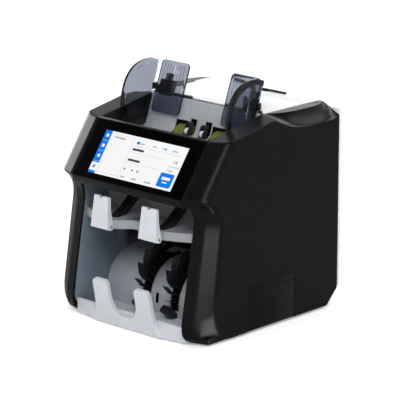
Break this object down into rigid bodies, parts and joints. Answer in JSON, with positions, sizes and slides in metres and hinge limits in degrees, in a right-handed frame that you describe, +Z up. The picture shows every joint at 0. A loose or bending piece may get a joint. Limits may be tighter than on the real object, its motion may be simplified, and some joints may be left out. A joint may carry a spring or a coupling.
{
  "type": "banknote counter",
  "caption": "Two-pocket banknote counter with tilted touch screen, top hopper with centring guides, reject pocket with flaps and stacker tray with leaf wheels",
  "frame": {"origin": "on the table, under the middle of the body's outline", "axes": "X to the right seen from the front, Y to the back, Z up; the screen faces -Y"},
  "size_m": [0.27, 0.303, 0.341],
  "materials": {
    "black_plastic": "moulded black, satin sheen",
    "touch_glass": "black printed cover glass",
    "dark_plastic": "dark grey, fine texture",
    "silver_panel": "silver paint, fine grain",
    "deck_panel": "light silver, smooth",
    "liner_plastic": "slate blue grey",
    "white_plastic": "cool white, satin",
    "smoked_plastic": "smoked clear plastic",
    "lever_plastic": "black, satin",
    "leaf_rubber": "black rubber",
    "feed_rubber": "olive rubber with ribs",
    "steel": "zinc plated steel",
    "motor_paint": "black painted can",
    "board": "green solder mask"
  },
  "bodies": {
    "machine": {"cover_left": "black_plastic", "cover_right": "black_plastic", "screen_housing": "black_plastic", "touch_glass": "touch_glass", "display_module": "steel", "hopper_frame": "dark_plastic", "hopper_plate": "silver_panel", "rear_deck": "deck_panel", "rear_cover": "deck_panel", "base_plate": "steel", "feet": "leaf_rubber", "chassis_left": "steel", "chassis_right": "steel", "chassis_screws": "steel", "bearings": "steel", "liner_left": "liner_plastic", "liner_right": "liner_plastic", "guide_rail": "steel", "lever_pin": "steel", "sensor_bar_front": "dark_plastic", "sensor_bar_rear": "dark_plastic", "turn_guide": "steel", "reject_floor": "white_plastic", "reject_guides": "lever_plastic", "flap_pins": "steel", "stacker_tray": "white_plastic", "stacker_ramp": "silver_panel", "stacker_tongues": "lever_plastic", "main_motor": "motor_paint", "stacker_motor": "motor_paint", "belts": "leaf_rubber", "power_supply": "steel", "main_board": "board", "power_socket": "dark_plastic", "port_block": "dark_plastic"},
    "guide_l": {"wing_left": "smoked_plastic", "paddle_left": "smoked_plastic", "slider_left": "lever_plastic"},
    "guide_r": {"wing_right": "smoked_plastic", "paddle_right": "smoked_plastic", "slider_right": "lever_plastic"},
    "pinion": {"guide_pinion": "white_plastic"},
    "feeder": {"feed_shaft": "steel", "feed_rollers": "feed_rubber"},
    "lever_l": {"lever_left": "lever_plastic"},
    "lever_r": {"lever_right": "lever_plastic"},
    "transport": {"transport_shaft": "steel"},
    "idler": {"idler_shaft": "steel"},
    "exit": {"exit_shaft": "steel"},
    "gate": {"diverter_gate": "dark_plastic"},
    "flap_l": {"flap_left": "white_plastic"},
    "flap_r": {"flap_right": "white_plastic"},
    "stacker": {"stacker_shaft": "steel", "stacker_wheels": "leaf_rubber"},
    "main_rotor": {"main_pulley": "steel"},
    "stacker_rotor": {"stacker_pulley": "steel"},
    "door": {"rear_door": "deck_panel"},
    "latch": {"door_latch": "dark_plastic"},
    "panel": {"side_panel": "black_plastic"},
    "rocker": {"power_switch": "dark_plastic"}
  },
  "joints": [
    {"name": "guide_left_slide", "type": "slide", "parent": "machine", "child": "guide_l", "axis": [1, 0, 0], "range_m": [0, 0.03]},
    {"name": "guide_right_slide", "type": "slide", "parent": "machine", "child": "guide_r", "axis": [-1, 0, 0], "range_m": [0, 0.03]},
    {"name": "pinion_spin", "type": "hinge", "parent": "machine", "child": "pinion", "pos_m": [0, 0.0469, 0.275], "axis": [0, 0, 1], "range_deg": [0, 220]},
    {"name": "main_motor_spin", "type": "hinge", "parent": "machine", "child": "main_rotor", "pos_m": [0, 0.0945, 0.079], "axis": [1, 0, 0], "continuous": true},
    {"name": "transport_spin", "type": "hinge", "parent": "machine", "child": "transport", "pos_m": [0, 0.0144, 0.134], "axis": [1, 0, 0], "continuous": true},
    {"name": "feed_spin", "type": "hinge", "parent": "machine", "child": "feeder", "pos_m": [0, 0.01685, 0.24002], "axis": [1, 0, 0], "continuous": true},
    {"name": "idler_spin", "type": "hinge", "parent": "machine", "child": "idler", "pos_m": [0, 0.0412, 0.134], "axis": [1, 0, 0], "continuous": true},
    {"name": "exit_spin", "type": "hinge", "parent": "machine", "child": "exit", "pos_m": [0, -0.05107, 0.17], "axis": [1, 0, 0], "continuous": true},
    {"name": "stacker_motor_spin", "type": "hinge", "parent": "machine", "child": "stacker_rotor", "pos_m": [0, 0.0064, 0.035], "axis": [1, 0, 0], "continuous": true},
    {"name": "stacker_spin", "type": "hinge", "parent": "machine", "child": "stacker", "pos_m": [0, -0.0461, 0.0545], "axis": [1, 0, 0], "continuous": true},
    {"name": "lever_left_swing", "type": "hinge", "parent": "machine", "child": "lever_l", "pos_m": [-0.014, -0.00615, 0.23302], "axis": [-1, 0, 0], "range_deg": [0, 10], "stiffness_Nm_per_rad": 0.05, "springref_deg": -5.73},
    {"name": "lever_right_swing", "type": "hinge", "parent": "machine", "child": "lever_r", "pos_m": [0.014, -0.00615, 0.23302], "axis": [-1, 0, 0], "range_deg": [0, 10], "stiffness_Nm_per_rad": 0.05, "springref_deg": -5.73},
    {"name": "gate_swing", "type": "hinge", "parent": "machine", "child": "gate", "pos_m": [0, -0.0091, 0.116], "axis": [1, 0, 0], "range_deg": [-8, 8], "stiffness_Nm_per_rad": 0.5},
    {"name": "flap_left_swing", "type": "hinge", "parent": "machine", "child": "flap_l", "pos_m": [-0.045, -0.1371, 0.14], "axis": [1, 0, 0], "range_deg": [0, 70], "stiffness_Nm_per_rad": 0.02, "springref_deg": -28.65},
    {"name": "flap_right_swing", "type": "hinge", "parent": "machine", "child": "flap_r", "pos_m": [0.045, -0.1371, 0.14], "axis": [1, 0, 0], "range_deg": [0, 70], "stiffness_Nm_per_rad": 0.02, "springref_deg": -28.65},
    {"name": "rear_door_swing", "type": "hinge", "parent": "machine", "child": "door", "pos_m": [0, 0.1489, 0.119], "axis": [-1, 0, 0], "range_deg": [0, 75]},
    {"name": "latch_slide", "type": "slide", "parent": "machine", "child": "latch", "axis": [0, -1, 0], "range_m": [0, 0.004], "stiffness_N_per_m": 200, "springref_m": -0.002},
    {"name": "side_panel_swing", "type": "hinge", "parent": "machine", "child": "panel", "pos_m": [0.132, 0, 0.0052], "axis": [0, 1, 0], "range_deg": [0, 80]},
    {"name": "switch_rock", "type": "hinge", "parent": "machine", "child": "rocker", "pos_m": [-0.038, 0.1459, 0.041], "axis": [1, 0, 0], "range_deg": [0, 14]}
  ],
  "couplings": [
    {"joint": "guide_right_slide", "follows": "guide_left_slide", "ratio": 1},
    {"joint": "pinion_spin", "follows": "guide_left_slide", "rad_per_m": 125},
    {"joint": "main_motor_spin", "follows": "transport_spin", "ratio": 1},
    {"joint": "feed_spin", "follows": "transport_spin", "ratio": 1},
    {"joint": "idler_spin", "follows": "transport_spin", "ratio": -1},
    {"joint": "stacker_motor_spin", "follows": "stacker_spin", "ratio": 1}
  ]
}
